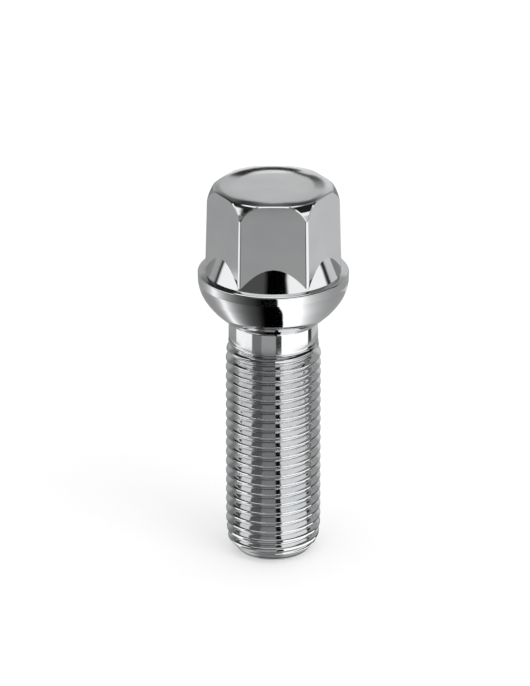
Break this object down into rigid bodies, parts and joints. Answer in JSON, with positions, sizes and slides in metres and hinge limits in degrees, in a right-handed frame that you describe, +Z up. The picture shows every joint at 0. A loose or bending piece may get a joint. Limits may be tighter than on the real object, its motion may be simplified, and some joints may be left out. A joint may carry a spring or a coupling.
{
  "type": "wheel bolt",
  "caption": "Chrome wheel bolt with a hexagon head, a flange with a ball seat, a plain neck and a threaded shank, for clamping a road wheel to its hub.",
  "frame": {"origin": "centre of the flat end of the threaded shank, which the bolt stands on", "axes": "+Z up the bolt's axis, from the thread end to the top of the head; one flat of the hexagon faces -Y"},
  "size_m": [0.022, 0.022, 0.0571],
  "materials": {
    "chrome_plate": "polished chrome plate on forged steel"
  },
  "bodies": {
    "root": {"wheel_bolt": "chrome_plate"}
  },
  "joints": []
}
